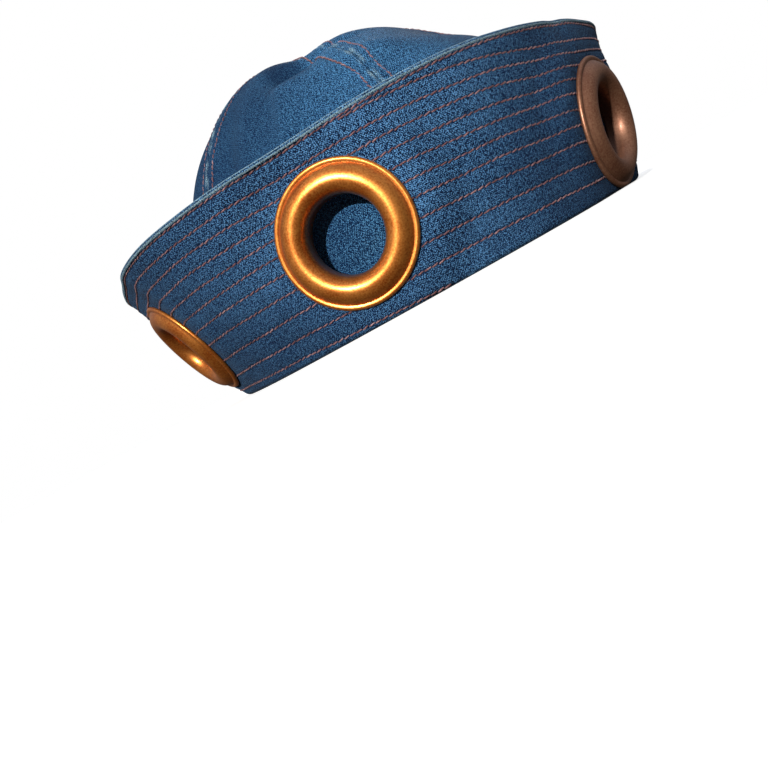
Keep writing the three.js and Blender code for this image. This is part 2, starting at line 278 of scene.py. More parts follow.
def denimMaterial(name, tones, rows=False):
    # tone = specks + slubs + streaks of warp and filling + twill lines + dots + a slow drift, in
    # millimetres of the cloth, through a ramp of four blues; painted light and shade, from a point
    # value, take the side away from the light towards the deepest of them; the point value "wear" gives
    # the worn edges, another gives painted shade in the crown's deep fold, and the map "rows" gives
    # painted shade in the sewn channels
    n = Nodes(name)
    deep = (*tones["deep"], 1)
    cloth = n.uv("cloth")
    axes = n.add("ShaderNodeSeparateXYZ", None, Vector=cloth)
    across, along = axes.outputs[0], axes.outputs[1]
    twill = n.math("SINE", n.times(n.plus(across, along), 2 * np.pi / tones["twillPitch"]))
    dotTurn = 2 * np.pi / tones["dotPitch"]
    shifted = n.plus(across, n.times(along, weave["dotSlant"]))
    dots = n.times(n.math("SINE", n.times(shifted, dotTurn)), n.math("SINE", n.times(along, dotTurn)))
    speck = n.noise(cloth, tones["speckle"], 1.2, 0.55, "2D")
    slub = n.noise(cloth, tones["speckle"] * weave["slubScale"], 1.0, 0.5, "2D")
    warp = n.noise(n.stretch(cloth, (1.5, 0.16, 1.0)), 1.0, 2.0, 0.55, "2D")
    filling = n.noise(n.stretch(cloth, (0.10, 1.3, 1.0)), 1.0, 1.5, 0.5, "2D")
    slow = n.noise(cloth, 0.035, 3.0, 0.55, "2D")
    grain = n.plus(speck, n.times(slub, weave["slub"]))
    streak = n.plus(n.times(warp, weave["warp"]), n.times(filling, weave["filling"]))
    pattern = n.plus(n.times(twill, weave["twill"]), n.times(dots, weave["dots"]))
    total = n.plus(n.plus(grain, streak), n.plus(pattern, n.times(slow, weave["slow"])))
    # painted light and shade: the cloth's tone and colour go darker where this point value is low
    paintedLight = n.mark("paintedLight")
    tone = n.minus(total, n.between(paintedLight, 0.0, 1.0, weave["paintedShadeLevel"], weave["paintedLightLevel"]))
    steps = zip(tones["stops"], ("deep", "indigo", "blue", "pale"))
    colour = n.ramp(tone, [(stop, tones[key]) for stop, key in steps])
    colour = n.blend(n.between(paintedLight, 0.0, 1.0, tones["paintedShadeMix"], 0.0), colour, deep)
    raised = n.minus(n.times(speck, weave["rubContrast"]), weave["rubLevel"])
    rubbed = n.between(n.times(n.mark("wear"), raised), 0.20, 0.80)
    colour = n.blend(rubbed, colour, (*tones["worn"], 1))
    fine = n.plus(n.times(speck, weave["speckRelief"]), n.times(dots, weave["dotRelief"]))
    height = n.plus(n.times(twill, weave["twillRelief"]), fine)
    if rows:
        count = n.add("ShaderNodeSeparateXYZ", None, Vector=n.uv("rows")).outputs[1]
        # painted shade in the sewn channels: darker within a millimetre of each row and along the top
        # row under the hem
        away = n.times(n.math("PINGPONG", count, 0.5), stitching["rowGap"])
        hem = n.math("ABSOLUTE", n.minus(n.mark("fromHem"), stitching["topRow"] + 0.25))
        near = n.between(n.math("MINIMUM", away, n.times(hem, weave["topRowNarrow"])), 0.1, 0.85)
        colour = n.blend(n.times(n.minus(1.0, near), weave["rowPaintedShade"]), colour, deep)
        height = n.plus(height, n.times(near, weave["rowRelief"]))
    else:
        # painted shade in the crown's deep fold, from its point value
        colour = n.blend(n.times(n.mark("pocketPaintedShade"), weave["pocketShadeDark"]), colour, deep)
    n.feed(n.shader.inputs["Base Color"], colour)
    n.fix({"Roughness": 0.88, "Specular IOR Level": 0.12,
           "Sheen Weight": 0.03, "Sheen Roughness": 0.5, "Sheen Tint": (0.55, 0.70, 0.9, 1)})
    n.bump(height, 0.55, 0.00035)
    return n.material


copperTones = {
    "bright": (0.90, 0.335, 0.065),
    "mid": (0.56, 0.125, 0.014),
    "dark": (0.13, 0.034, 0.008),
    "metal": 0.80, "coat": 0.22,
}
# a darker, greyer copy of the copper tones: painted shade for one eyelet
shadedCopperTones = {
    "bright": (0.40, 0.20, 0.12),
    "mid": (0.23, 0.088, 0.048),
    "dark": (0.07, 0.026, 0.017),
    "metal": 0.72, "coat": 0.12,
}


def copperMaterial(name, tones, rough):
    # antique copper: tone = 0.6 fine grain + 0.4 slow patina, darker where the point value "recess"
    # is high, and a little rougher where the patina is thick
    n = Nodes(name)
    place = n.place()
    grain = n.noise(place, 1500.0, 2.0, 0.6)
    slow = n.noise(place, 90.0, 3.0, 0.55)
    mix = n.plus(n.times(grain, 0.6), n.times(slow, 0.4))
    colour = n.ramp(mix, [(0.38, tones["mid"]), (0.62, tones["bright"])])
    patina = n.times(n.mark("recess"), n.between(slow, 0.2, 0.8, 0.55, 0.95))
    colour = n.blend(patina, colour, (*tones["dark"], 1))
    n.feed(n.shader.inputs["Base Color"], colour)
    n.feed(n.shader.inputs["Roughness"], n.between(slow, 0.3, 0.7, rough, rough + 0.04))
    n.fix({"Metallic": tones["metal"], "Coat Weight": tones["coat"], "Coat Roughness": 0.24})
    n.bump(n.plus(grain, n.times(slow, 0.4)), 0.03, 0.0001)
    return n.material


threadTones = {"rust": (0.155, 0.051, 0.060), "pale": (0.42, 0.25, 0.27), "dark": (0.05, 0.018, 0.022)}


def threadMaterial(name, tones):
    # sewing thread: tone = half fine ply + half a slow drift, through a ramp of three tones
    n = Nodes(name)
    place = n.place()
    ply = n.noise(place, 2600.0, 1.0, 0.5)
    drift = n.noise(place, 260.0, 2.0, 0.5)
    mix = n.plus(n.times(ply, 0.5), n.times(drift, 0.5))
    colour = n.ramp(mix, [(0.33, tones["dark"]), (0.48, tones["rust"]), (0.68, tones["pale"])])
    n.feed(n.shader.inputs["Base Color"], colour)
    n.fix({"Roughness": 0.55, "Sheen Weight": 0.15})
    n.bump(ply, 0.4, 0.0001)
    return n.material


# The cuff's shape

cuff = {
    "halfLengthBelow": 103, "halfWidthBelow": 97,  # outside of the fold
    "halfLengthAbove": 125, "halfWidthAbove": 104,  # outside of the hem
    "height": 67.6, "leanBack": 10.3,
    "frontLower": 0.013, "leftLower": 0.037,
    "squareBelow": 0.008, "squareAbove": 0.021,
    "columns": 540, "wallRows": 62,
    "outerWall": 1.4, "facingWall": 1.2,
    "hemRows": 13, "fineBelowHem": 4.2,  # finer cells near the hem
    "footDepth": 8.6,
    "foldRadius": 1.6,
    "hemRoll": 0.9,  # how far down the facing's roll shows
    "facingDepth": 3.0,  # inside of the facing
    "facingFoot": 1.9,
    "puff": 0.30,  # how far the cloth swells between two rows
    "hemPuff": 0.35,
    "hemWear": ((0.84, 0.2, 0.5), (0.94, 1.55, 0.42)),  # strength, below the hem, reach
    "foldWear": (0.35, 0.3, 1.0),  # strength, above the fold, reach
    "clampedPuff": 0.35,  # share of the swell left at an eyelet
}

# painted light and shade round the hat: lightest on the side towards the light, some again at the far
# side, darker low on the cuff
paintedShading = {
    "cuffAngle": -84, "cuffBefore": 43, "cuffAfter": 26,
    "crownAngle": -78, "crownReach": 30,
    "farSide": 0.6, "farFrom": 75, "farTo": 130,
    "lowFrom": 0.15, "lowTo": 0.65, "low": 0.3,
    "lowLeft": 0.3, "leftFrom": 30, "leftTo": 55,
}

eyeletRows = [
    {"angle": -99.3, "rise": 0.472, "swing": -5.6, "nod": 3.9},
    {"angle": -33.3, "rise": 0.382, "swing": 0.2, "nod": -3.9},
    {"angle": 25.0, "rise": 0.45, "swing": 0, "nod": 0},
    {"angle": 83.2, "rise": 0.46, "swing": 0, "nod": 0},
    {"angle": 141.5, "rise": 0.46, "swing": 0, "nod": 0},
    {"angle": -160.2, "rise": 0.456, "swing": 3.5, "nod": 2.3},
]
eyeletSeat = {
    "flatRadius": 27, "fadeRadius": 46,  # flat so far out, and itself again there
    "holeInCloth": 17.0, "holeDepth": 9,
    "calmRadius": 25, "looseRadius": 31,  # where the folds and the swell die out
    "frontClear": 24.0, "backClear": 21.0,  # stitches stop so far from the middle
}


def cuffHeight(angle):
    # height * (1 - frontLower cos a - leftLower sin a)
    return cuff["height"] * (1 - cuff["frontLower"] * np.cos(angle) - cuff["leftLower"] * np.sin(angle))


def ovalAt(share):
    # half length and half width, in a straight line from the fold to the hem
    halfLength = cuff["halfLengthBelow"] + (cuff["halfLengthAbove"] - cuff["halfLengthBelow"]) * share
    halfWidth = cuff["halfWidthBelow"] + (cuff["halfWidthAbove"] - cuff["halfWidthBelow"]) * share
    return halfLength, halfWidth


def openCuff(angle, share):
    # (halfLength r cos a - lean share, halfWidth r sin a, height share), r = 1 - square cos 6(a - a0)
    square = cuff["squareBelow"] + (cuff["squareAbove"] - cuff["squareBelow"]) * share
    radius = 1 - square * np.cos(6 * (angle - np.radians(eyeletRows[0]["angle"])))
    halfLength, halfWidth = ovalAt(share)
    x = halfLength * radius * np.cos(angle) - cuff["leanBack"] * share
    return np.stack([x, halfWidth * radius * np.sin(angle), cuffHeight(angle) * share], -1)


def seatOf(row):
    # centre of an eyelet on the cuff, and its axes: round the hat, up it, and out of it
    angle, rise, step = np.radians(row["angle"]), row["rise"], 1e-4
    around = unit(openCuff(angle + step, rise) - openCuff(angle - step, rise))
    out = unit(np.cross(around, openCuff(angle, rise + step) - openCuff(angle, rise - step)))
    up = np.cross(out, around)
    swing, nod = np.radians([row["swing"], row["nod"]])
    turnedOut = out * np.cos(swing) + around * np.sin(swing)
    turnedAround = np.cross(up, turnedOut)
    axis = turnedOut * np.cos(nod) + up * np.sin(nod)
    upright = np.cross(axis, turnedAround)
    return {"centre": openCuff(angle, rise), "around": turnedAround, "up": upright, "axis": axis}


seats = [seatOf(row) for row in eyeletRows]


def cuffPoint(angle, height, depth):
    # the open cuff, drawn level onto each eyelet's plane where it is clamped, then moved inwards
    share = height / cuffHeight(angle)
    point = openCuff(angle, share)
    for seat in seats:
        away = point - seat["centre"]
        off = away @ seat["axis"]
        reach = np.linalg.norm(away, axis=-1)
        hold = 1 - smoothStep(eyeletSeat["flatRadius"], eyeletSeat["fadeRadius"], reach)
        level = seat["axis"] * np.array([1, 1, 0])
        point = point - (hold * off / (level @ level))[..., None] * level
    halfLength, halfWidth = ovalAt(share)
    inward = unit(np.stack([-halfWidth * np.cos(angle), -halfLength * np.sin(angle), 0 * angle], -1))
    return point + inward * depth[..., None]


def nearestEyelet(points):
    # distance from each point to the closest eyelet's axis point
    return np.min([np.linalg.norm(points - seat["centre"], axis=-1) for seat in seats], axis=0)


# Rows of stitching on the cuff

stitching = {
    "startAngle": -88.6,  # where the spiral leaves the fold
    "topRow": 2.5,  # the closed row under the hem, below the hem's top
    "rowGap": 7.2,  # what one row to the next counts as
    "edgeGap": 7.0,  # the same below the first row and above the last
    "topNarrow": 1.8,  # the top row's channel is so much narrower
    "pitch": 2.75, "length": 2.9, "radius": 0.30, "above": 0.08,
    "slant": 0.20, "wobble": 0.30,
    "spiralPoints": 16000, "topPoints": 1600, "fewestPoints": 8,
    "dipAngle": -42, "dipReach": 28, "dip": 0.075,  # rows run lower here
    "riseAngle": -140, "riseReach": 32, "rise": 0.022,
}

# share of the cuff's height that the spiral has climbed after so many turns
spiralRows = np.array([
    (0.0, 0.010), (0.1, 0.045), (0.5, 0.088), (1.0, 0.130), (2.0, 0.245), (3.0, 0.362), (4.0, 0.457),
    (5.0, 0.543), (6.0, 0.628), (7.0, 0.708), (8.0, 0.788), (9.0, 0.866), (9.9, 0.930), (10.0, 0.955),
])
turnsSewn = 10


def angleGap(angle, middle):
    # degrees from middle to the angle, the short way
    return (np.degrees(angle) - middle + 180) % 360 - 180


def rowHeight(turns, angle):
    # height of the spiral after so many turns, with the hand's slow wobble
    share = np.interp(turns, spiralRows[:, 0], spiralRows[:, 1])
    lower = stitching["dip"] * bell(angleGap(angle, stitching["dipAngle"]), 0, stitching["dipReach"])
    higher = stitching["rise"] * bell(angleGap(angle, stitching["riseAngle"]), 0, stitching["riseReach"])
    way = 2 * np.pi * turns
    wobble = np.sin(7.3 * way + 1.1) + 0.7 * np.sin(12.9 * way + 2.3 * turns)
    wobble = wobble + 0.45 * np.sin(23.1 * way + 0.4)
    calm = smoothStep(0.0, 0.4, turns) * (1 - smoothStep(turnsSewn - 0.2, turnsSewn, turns))
    return cuffHeight(angle) * share * (1 - lower + higher) + 0.5 * stitching["wobble"] * wobble * calm


def rowCount(angle, height, passed):
    # how many rows lie below a point, whole on a row; passed is the share of a turn sewn so far, and
    # below the first row and above the last the count runs on by half a row at most
    lines = [rowHeight(k + passed, angle) for k in range(turnsSewn)]
    count = -np.clip((lines[0] - height) / stitching["edgeGap"], 0, 0.5)
    for low, high in zip(lines[:-1], lines[1:]):
        count = count + np.clip((height - low) / (high - low), 0, 1)
    return count + np.clip((height - lines[-1]) / stitching["edgeGap"], 0, 0.5)


def rowSwell(angle, height, count):
    # cloth swells between rows: puff (1 - exp(-(distance / 1.3)^2)), and again along the hem
    away = np.abs(count - np.round(count)) * stitching["rowGap"]
    fromTop = cuffHeight(angle) - height
    away = np.minimum(away, stitching["topNarrow"] * np.abs(fromTop - stitching["topRow"]))
    swell = cuff["puff"] * (1 - bell(away, 0, 1.3))
    ridge = cuff["hemPuff"] * bell(fromTop, 1.4, 0.4)
    return swell + ridge


# upright folds near the hem: angle, reach, size, and the share of the height where each begins
foldRows = ((-40.5, 2.2, -0.45, 0.55), (-45.0, 3.0, 0.25, 0.5))


def softFolds(angle, height):
    # slow hollows and swells of the sewn cuff: three waves round it, and the upright folds
    share = height / cuff["height"]
    slow = 0.25 * np.sin(5 * angle + 0.6) + 0.16 * np.sin(11 * angle + 2.0 + 1.3 * share)
    ripple = 0.12 * np.sin(23 * angle + 3.1 * share) * share
    total = (slow + ripple) * smoothStep(0.05, 0.4, share)
    for middle, reach, size, begins in foldRows:
        total = total + size * bell(angleGap(angle, middle), 0, reach) * smoothStep(begins, 0.95, share)
    return total


def cuffSurface(angle, height, depth, passed):
    # the sewn cloth and its row count: the plain cuff moved out by its swell and its folds, calm at
    # an eyelet
    count = rowCount(angle, height, passed)
    plain = cuffPoint(angle, height, depth)
    loose = smoothStep(eyeletSeat["calmRadius"], eyeletSeat["looseRadius"], nearestEyelet(plain))
    puffed = cuff["clampedPuff"] + (1 - cuff["clampedPuff"]) * loose
    lift = rowSwell(angle, height, count) * puffed + softFolds(angle, height) * loose
    return cuffPoint(angle, height, depth - lift), count


def cutHoles(points, faces):
    # leaves out the faces inside each eyelet's hole, and moves the torn edge out to a true circle
    kept = np.ones(len(faces), dtype=bool)
    for seat in seats:
        away = points - seat["centre"]
        off = away @ seat["axis"]
        flat = away - off[:, None] * seat["axis"]
        reach = np.linalg.norm(flat, axis=-1)
        inside = (reach < eyeletSeat["holeInCloth"]) & (np.abs(off) < eyeletSeat["holeDepth"])
        kept &= ~inside[faces].all(axis=1)
        wanted = flat / np.maximum(reach, 1e-6)[:, None] * eyeletSeat["holeInCloth"]
        points = np.where(inside[:, None], points - flat + wanted, points)
    return points, kept


def dropLoose(points, faces, marks):
    # keeps only the points that a face still uses
    used = np.zeros(len(points), dtype=bool)
    used[faces.ravel()] = True
    number = np.cumsum(used) - 1
    return points[used], number[faces], {key: values[used] for key, values in marks.items()}


def paintedLightAround(gap, reach):
    # painted light: exp(-(gap / reach)^2), and again on the far side of the hat; gap in degrees from the
    # middle
    far = paintedShading["farSide"] * smoothStep(paintedShading["farFrom"], paintedShading["farTo"], np.abs(gap))
    return bell(gap, 0, reach) + far


def cuffPaintedLight(angles, heights):
    # the painted light round the cuff, less painted shade low on it, more of that towards the left
    gap = angleGap(angles, paintedShading["cuffAngle"])
    low = 1 - smoothStep(paintedShading["lowFrom"], paintedShading["lowTo"], heights / cuff["height"])
    left = paintedShading["lowLeft"] * smoothStep(paintedShading["leftFrom"], paintedShading["leftTo"], -gap)
    reach = np.where(gap < 0, paintedShading["cuffBefore"], paintedShading["cuffAfter"])
    return paintedLightAround(gap, reach) - low * (paintedShading["low"] + left)


def cuffWear(fromHem, heights):
    # a bell for the hem's edge, one for the ridge below it and one for the fold
    hem = sum(strength * bell(fromHem, place, reach) for strength, place, reach in cuff["hemWear"])
    strength, place, reach = cuff["foldWear"]
    return hem + strength * bell(heights, place, reach)


def sewnRing(name, depths, heightOf, finish, slotName, wall, flip):
    # a ring of cloth round the hat: every column is the same section, carried round clockwise; its
    # maps have one column more than its points, since they do not close
    columns, rows = cuff["columns"], len(depths)
    passed = np.arange(columns + 1) / columns
    angle = np.radians(stitching["startAngle"]) - 2 * np.pi * passed
    angles, depthGrid = np.meshgrid(angle, depths, indexing="ij")
    passedGrid = np.repeat(passed[:, None], rows, 1)
    heights = heightOf(angles)
    points, count = cuffSurface(angles, heights, depthGrid, passedGrid)
    arc = runLength(points[:, rows // 2])
    climb = runLength(points[0])
    clothUv = np.stack([np.repeat(arc[:, None], rows, 1), np.repeat(climb[None], columns + 1, 0)], -1)
    rowsUv = np.stack([clothUv[..., 0], count], -1)
    fromHem = cuffHeight(angles) - heights
    marks = {"fromHem": fromHem, "wear": cuffWear(fromHem, heights), "paintedLight": cuffPaintedLight(angles, heights)}
    marks = {key: values[:-1].ravel() for key, values in marks.items()}
    faces = gridFaces(columns, rows, closed=True, flip=flip)
    corners = gridFaces(columns + 1, rows, flip=flip)
    uvSets = {"cloth": clothUv.reshape(-1, 2)[corners], "rows": rowsUv.reshape(-1, 2)[corners]}
    flat, kept = cutHoles(points[:-1].reshape(-1, 3), faces)
    flat, faces, marks = dropLoose(flat, faces[kept], marks)
    uvSets = {key: values[kept] for key, values in uvSets.items()}
    piece = makePiece(name, flat, [faces], finish, uvSets, marks)
    giveWall(piece, wall)
    return piece


denimOfCuff = denimMaterial("cuffDenim", cuffTones, rows=True)
denimOfCrown = denimMaterial("crownDenim", crownTones)
copper = copperMaterial("eyeletCopper", copperTones, 0.33)
# painted shade: a darker copy of the copper, for the eyelet out of the light
shadedCopper = copperMaterial("eyeletShadedCopper", shadedCopperTones, 0.44)
dullMetal = copperMaterial("eyeletBackMetal", copperTones, 0.45)
rustThread = threadMaterial("rustThread", threadTones)
print("materials ready")


def cuffClothSection():
    # depth of each corner of the section, and a function that gives its height at any angle
    bend = np.radians(np.arange(0, 91, 15))
    radius = cuff["foldRadius"]
    foot = np.linspace(cuff["footDepth"], radius + 0.8, 6)
    nearHem = 1 - cuff["fineBelowHem"] / cuff["height"]
    coarse = np.linspace(0, nearHem, cuff["wallRows"] - cuff["hemRows"] + 1)[1:]
    shares = np.concatenate([coarse, np.linspace(nearHem, 1, cuff["hemRows"] + 1)[1:]])
    edge = np.array([(0.0, 0.20), (0.03, 0.09), (0.10, 0.02), (0.30, 0.0)])
    depths = np.concatenate([foot, radius - radius * np.sin(bend), np.zeros(len(shares)), edge[:, 0]])
    low = np.concatenate([np.full(len(foot), 0.02), radius - radius * np.cos(bend)])

    def heightOf(angle):
        top = cuffHeight(angle[:, :1]) - cuff["hemRoll"] - 0.03
        wall = radius + (top - 0.20 - radius) * shares[None]
        return np.concatenate([np.repeat(low[None], len(angle), 0), wall, top - edge[None, :, 1]], 1)

    return depths, heightOf


def cuffFacingSection():
    # the inner layer: up the inside of the cuff, and over the hem in a low half oval
    radius = cuff["facingDepth"] / 2
    over = np.radians(np.arange(0, 181, 15))
    shares = np.linspace(0, 1, cuff["wallRows"])[:-1]
    inside = np.full(len(shares), cuff["facingDepth"])
    depths = np.concatenate([inside, radius + radius * np.cos(over), [0.25]])

    def heightOf(angle):
        top, foot = cuffHeight(angle[:, :1]), cuff["facingFoot"]
        wall = foot + (top - cuff["hemRoll"] - 0.6 - foot) * shares[None]
        roll = top - cuff["hemRoll"] + cuff["hemRoll"] * np.sin(over)[None]
        return np.concatenate([wall, roll, top - cuff["hemRoll"] - 0.4], 1)

    return depths, heightOf


cuffCloth = sewnRing("cuffCloth", *cuffClothSection(), denimOfCuff, "cuff_denim",
                     cuff["outerWall"], flip=True)
cuffFacing = sewnRing("cuffFacing", *cuffFacingSection(), denimOfCuff, "facing_denim",
                      cuff["facingWall"], flip=False)
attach(cuffCloth, "root")
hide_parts("cuff_outer")
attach(cuffFacing, "root")
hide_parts("cuff_facing")
print("cuff made")

# The crown's shape

# each section from the fold to the top: height, half length, half width, slump back, front drop
crownRows = np.array([
    (1.7, 96.8, 90.8, 0.0, 0.0), (20, 94.6, 88.2, 0.0, 0.0), (42, 94.2, 87.2, 0.1, 0.5),
    (60, 92.2, 86.0, 0.7, 2.4), (76, 85.8, 80.3, 1.5, 4.0), (92, 74.2, 69.4, 2.6, 5.6),
    (106, 58.8, 55.0, 3.8, 7.0), (117, 40.6, 38.0, 5.0, 8.1), (123.6, 21.0, 19.6, 5.7, 8.8),
    (126, 1.4, 1.4, 6.0, 9.0),
])
crown = {
    "gores": 6, "firstSeam": -139, "puff": 1.4,
    "across": 66, "along": 118,
    "wall": 1.6,
    "seamWidth": 5.4, "seamLift": 0.75, "seamGroove": 0.16,
    "seamRidge": 0.25, "seamSewn": 0.22, "pucker": 0.16,
    "gather": 0.085,  # how far the cells are drawn in to the seams
    "squeeze": 0.015,  # half the space between two gores
    "patternStep": 137.0,  # no two gores from one place of the cloth
    "seamWear": 0.76, "bandWear": 0.25,
    "stitchRow": 4.4,  # from the seam to each row beside it
    "rowFrom": 0.004, "rowTo": 0.93, "rowPoints": 700, "rowSunk": 0.38,
    "strayRow": 3.0, "strayFrom": 0.48, "strayTo": 0.62,  # the row beside the pocket wanders off
    # where the painted shade of the pocket lies on the crown, and its size
    "pocketAngle": -100, "pocketWay": 0.715,
    "pocketWide": 12, "pocketTall": 18, "pocketFall": 13,  # it runs down as it goes round
}

# dents: place by angle and by share of the way up, reach round the hat and up it, slant, and depth,
# negative where the cloth stands out
dentRows = np.array([
    (-85, 0.84, 12, 23, 0, 4.7), (-98, 0.695, 10.5, 9.0, 10, 8.5), (-78, 0.71, 16, 4, -6, 2),
    (-112, 0.55, 6, 26, -6, 2.6), (-128, 0.52, 7, 24, 4, 3), (-38, 0.62, 22, 14, 0, 3),
    (48, 0.66, 24, 9, -12, 3.4), (112, 0.58, 9, 24, 8, 2.8), (172, 0.68, 22, 8, 10, 3.2),
    (-73, 0.57, 13, 8, 0, -2.4), (-99, 0.19, 24, 24, 0, -3.4), (-95, 0.15, 14, 3, 28, 1.3),
    (-105, 0.50, 2.6, 20, 0, -0.9), (-109, 0.52, 3.2, 22, 0, 1.0),
])


def crownValues(way):
    # every column of the sections, so far up from the fold
    return curveThrough(crownRows, np.clip(way, 0, 1) * (len(crownRows) - 1))


def plainCrown(angle, way):
    # (halfLength (1 + puff) cos a - back, halfWidth (1 + puff) sin a, up - drop x / 100)
    up, halfLength, halfWidth, back, drop = np.moveaxis(crownValues(way), -1, 0)
    swell = np.abs(np.sin(crown["gores"] / 2 * (angle - np.radians(crown["firstSeam"]))))
    puff = crown["puff"] * swell * np.sin(np.pi * way) / np.maximum(halfLength, 1)
    x = halfLength * (1 + puff) * np.cos(angle) - back
    return np.stack([x, halfWidth * (1 + puff) * np.sin(angle), up - drop * x / 100], -1)


def crownOut(angle, way):
    # the way out of the cloth: round the hat crossed with up the gore
    low, high = np.maximum(way - 1e-3, 0), np.minimum(way + 1e-3, 0.999)
    around = np.stack([-np.sin(angle), np.cos(angle), 0 * angle], -1)
    return unit(np.cross(around, plainCrown(angle, high) - plainCrown(angle, low)))


def offsetsFrom(points, angle, way):
    # how far points lie from a place on the crown: round the hat, up the gore, and straight
    place, share = np.array(np.radians(angle)), np.array(way)
    level = np.array([-np.sin(place), np.cos(place), 0])
    away = points - plainCrown(place, share)
    return away @ level, away @ np.cross(crownOut(place, share), level), np.linalg.norm(away, axis=-1)


def dentDepth(points):
    # each dent is a bell, longer one way than the other, pushed in where its own side faces
    depth = np.zeros(points.shape[:-1])
    for angle, way, around, up, slant, deep in dentRows:
        u, v, distance = offsetsFrom(points, angle, way)
        s = np.radians(slant)
        long, wide = (v * np.cos(s) - u * np.sin(s)) / up, (u * np.cos(s) + v * np.sin(s)) / around
        depth = depth + deep * (1 - smoothStep(30, 60, distance)) * np.exp(-(wide**2 + long**2))
    return depth


def pocketShade(points):
    # painted shade in the deep fold of the crown: 1 inside a slanting oval, falling to 0 outside it
    u, v, _ = offsetsFrom(points, crown["pocketAngle"], crown["pocketWay"])
    across = u / crown["pocketWide"]
    reach = np.hypot(across, (v + crown["pocketFall"] * across) / crown["pocketTall"])
    return 1 - smoothStep(0.55, 1.2, reach)


def crownSurface(angle, way, lift):
    # the plain crown pushed in by its dents and out by the cloth's own relief
    plain = plainCrown(angle, way)
    return plain + crownOut(angle, way) * (lift - dentDepth(plain))[..., None]


def seamRelief(fromSeam, fromApex, alongSeam):
    # raised band over the seam's allowances, a groove along the seam with a ridge beside it, a dip
    # under each row, puckers that fade outwards, and only the band's lift where the seams meet
    width, lift = crown["seamWidth"], crown["seamLift"]
    band = lift * (1 - smoothStep(width - 1.0, width + 0.5, fromSeam))
    groove = crown["seamGroove"] * bell(fromSeam, 0, 0.5) - crown["seamRidge"] * bell(fromSeam, 1.1, 0.8)
    sewn = crown["seamSewn"] * bell(fromSeam, crown["stitchRow"], 0.6)
    wave = np.sin(alongSeam * 0.9 + 1.5 * np.sin(alongSeam * 0.13))
    pucker = crown["pucker"] * wave * bell(fromSeam, 6.0, 5.0)
    belowApex = smoothStep(2, 16, fromApex)
    return (band - groove - sewn + pucker) * belowApex + lift * (1 - belowApex)


def crownGore(index):
    # one gore between two seams: share u across it and way v up it, with cells drawn in to the seams
    across, along = crown["across"], crown["along"]
    even = np.linspace(0, 1, across + 1)
    u = even - crown["gather"] * np.sin(2 * np.pi * even)
    v = np.linspace(0, 1, along + 1)
    width = 2 * np.pi / crown["gores"]
    start = np.radians(crown["firstSeam"]) + index * width
    angles, ways = np.meshgrid(start + width * u, v, indexing="ij")
    bare = plainCrown(angles, ways)
    step = np.linalg.norm(np.diff(bare, axis=0), axis=-1)
    fromLeft = np.concatenate([np.zeros((1, along + 1)), np.cumsum(step, 0)])
    fromSeam = np.minimum(fromLeft, fromLeft[-1:] - fromLeft)
    rise = np.repeat(runLength(bare[across // 2])[None], across + 1, 0)
    lift = seamRelief(fromSeam, rise[0, -1] - rise, rise)
    points = crownSurface(angles, ways, lift)
    points[:, -1] = points[:, -1].mean(0)
    middle = start + width / 2
    side = np.array([-np.sin(middle), np.cos(middle), 0])
    squeeze = crown["squeeze"] * (1 - 2 * u)
    points[:, :-1] += squeeze[:, None, None] * side
    uv = np.stack([fromLeft - fromLeft[-1:] / 2 + crown["patternStep"] * index, rise], -1)
    patchy = 0.62 + 0.38 * np.sin(0.55 * rise + 1.9 * index) * np.sin(0.23 * rise + 0.8)
    wear = crown["seamWear"] * bell(fromSeam, 0.8, 1.2) * patchy
    wear = wear + crown["bandWear"] * bell(fromSeam, crown["seamWidth"], 0.7)
    # painted light and shade round the crown, lightest on the side towards the light
    paintedLight = paintedLightAround(angleGap(angles, paintedShading["crownAngle"]), paintedShading["crownReach"])
    # the pocket's painted shade goes in with the wear and the painted light
    marks = {"wear": wear.ravel(), "pocketPaintedShade": pocketShade(bare).ravel(), "paintedLight": paintedLight.ravel()}
    faces = gridFaces(across + 1, along + 1)
    uvSets = {"cloth": uv.reshape(-1, 2)[faces]}
    piece = makePiece(f"crownGore{index + 1}", points.reshape(-1, 3), [faces], denimOfCrown,
                      uvSets, marks)
    giveWall(piece, crown["wall"])
    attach(piece, "root")
    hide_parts(f"crown_gore_{index + 1}")


for index in range(crown["gores"]):
    crownGore(index)
print("crown made")

# Stitches


def stitchShape():
    # one stitch along x: three rings of five corners and a point at each end
    turn = np.radians(np.arange(5) * 72)
    rings = []
    for x, size, lift in ((-0.40, 0.90, -0.05), (0.0, 1.05, 0.40), (0.40, 0.90, -0.05)):
        rings.append(np.stack([np.full(5, x), size * np.cos(turn), size * np.sin(turn) + lift], -1))
    points = np.concatenate([[(-0.5, 0, -0.8)], *rings, [(0.5, 0, -0.8)]])
    k = np.arange(5)
    nextK = (k + 1) % 5
    square = np.stack([1 + k, 6 + k, 6 + nextK, 1 + nextK], -1)
    walls = [square, square + 5]
    ends = np.concatenate([np.stack([np.zeros(5, int), 1 + k, 1 + nextK], -1),
                           np.stack([np.full(5, 16), 11 + nextK, 11 + k], -1)])
    return points, np.concatenate(walls), ends


def readAlong(run, values, at):
    # the three columns of values, read at the given distances along a line
    return np.stack([np.interp(at, run, values[:, k]) for k in range(3)], -1)


